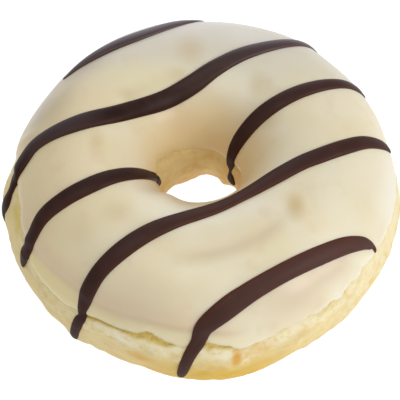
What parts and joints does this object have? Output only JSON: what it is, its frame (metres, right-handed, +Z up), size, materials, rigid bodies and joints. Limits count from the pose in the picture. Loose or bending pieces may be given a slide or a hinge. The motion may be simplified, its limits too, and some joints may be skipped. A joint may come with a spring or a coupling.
{
  "type": "filled doughnut",
  "caption": "Iced ring doughnut with an open centre hole, a pale icing coat over its crown and piped dark chocolate stripes; it rests on its flat base.",
  "frame": {"origin": "centre of the bounding box in plan, on the plane of the flat base that the doughnut rests on; the hole's axis passes 0.8 mm from it", "axes": "+Z up through the hole, from the base to the iced crown; -Y is the side where the longest chocolate drips hang, and +X is the side where the piped lines end short of the base"},
  "size_m": [0.0896, 0.0926, 0.0364],
  "materials": {
    "dough": "baked golden crust, matte, finely wrinkled",
    "icing": "ivory cream icing, satin gloss",
    "chocolate": "dark chocolate, satin gloss"
  },
  "bodies": {
    "root": {"dough_ring": "dough", "icing_coat": "icing", "chocolate_stripe_1": "chocolate", "chocolate_stripe_2": "chocolate", "chocolate_stripe_3": "chocolate", "chocolate_stripe_4": "chocolate", "chocolate_stripe_5": "chocolate", "chocolate_stripe_6": "chocolate"}
  },
  "joints": []
}
